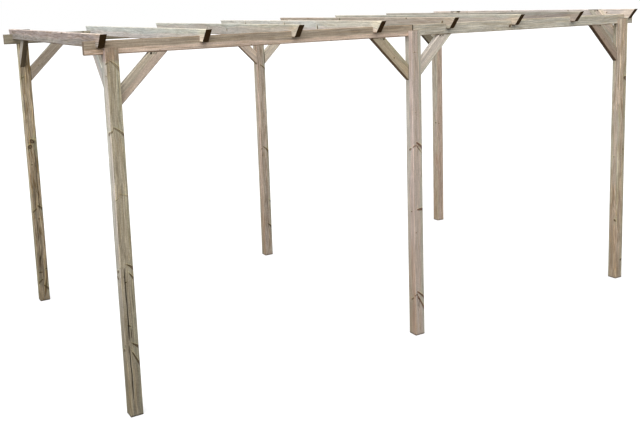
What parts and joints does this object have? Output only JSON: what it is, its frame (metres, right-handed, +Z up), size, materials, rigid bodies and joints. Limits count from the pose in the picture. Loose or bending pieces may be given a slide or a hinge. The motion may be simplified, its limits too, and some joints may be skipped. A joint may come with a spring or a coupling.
{
  "type": "timber carport frame",
  "caption": "Open flat-topped timber carport frame: square posts carry beams on edge, notched rafters with raked tails and knee braces.",
  "frame": {"origin": "on the ground under the middle of the frame", "axes": "+X along the beams to the right, +Y along the rafters to the rear, +Z up"},
  "size_m": [5.24, 3, 2.63],
  "materials": {
    "post_timber": "planed, pressure-treated softwood, olive beige with knots and drying checks",
    "beam_timber_warm": "planed, pressure-treated softwood, pinkish fawn",
    "beam_timber_grey": "planed, pressure-treated softwood, greenish grey",
    "rafter_timber": "planed, pressure-treated softwood, pale grey-green with dark end grain",
    "brace_timber": "planed, pressure-treated softwood, pinkish grey",
    "screws": "zinc-plated countersunk heads, dulled"
  },
  "bodies": {
    "root": {"post_front_left": "post_timber", "post_front_middle": "post_timber", "post_front_right": "post_timber", "post_rear_left": "post_timber", "post_rear_middle": "post_timber", "post_rear_right": "post_timber", "beam_front_left": "beam_timber_warm", "beam_front_right": "beam_timber_grey", "beam_rear_left": "beam_timber_warm", "beam_rear_right": "beam_timber_grey", "rafter_1": "rafter_timber", "rafter_2": "rafter_timber", "rafter_3": "rafter_timber", "rafter_4": "rafter_timber", "rafter_5": "rafter_timber", "rafter_6": "rafter_timber", "rafter_7": "rafter_timber", "rafter_8": "rafter_timber", "brace_front_left": "brace_timber", "brace_front_middle_left": "brace_timber", "brace_front_middle_right": "brace_timber", "brace_front_right": "brace_timber", "brace_rear_left": "brace_timber", "brace_rear_middle_left": "brace_timber", "brace_rear_middle_right": "brace_timber", "brace_rear_right": "brace_timber", "cross_brace_front_left": "brace_timber", "cross_brace_front_right": "brace_timber", "cross_brace_rear_left": "brace_timber", "cross_brace_rear_right": "brace_timber"}
  },
  "joints": []
}
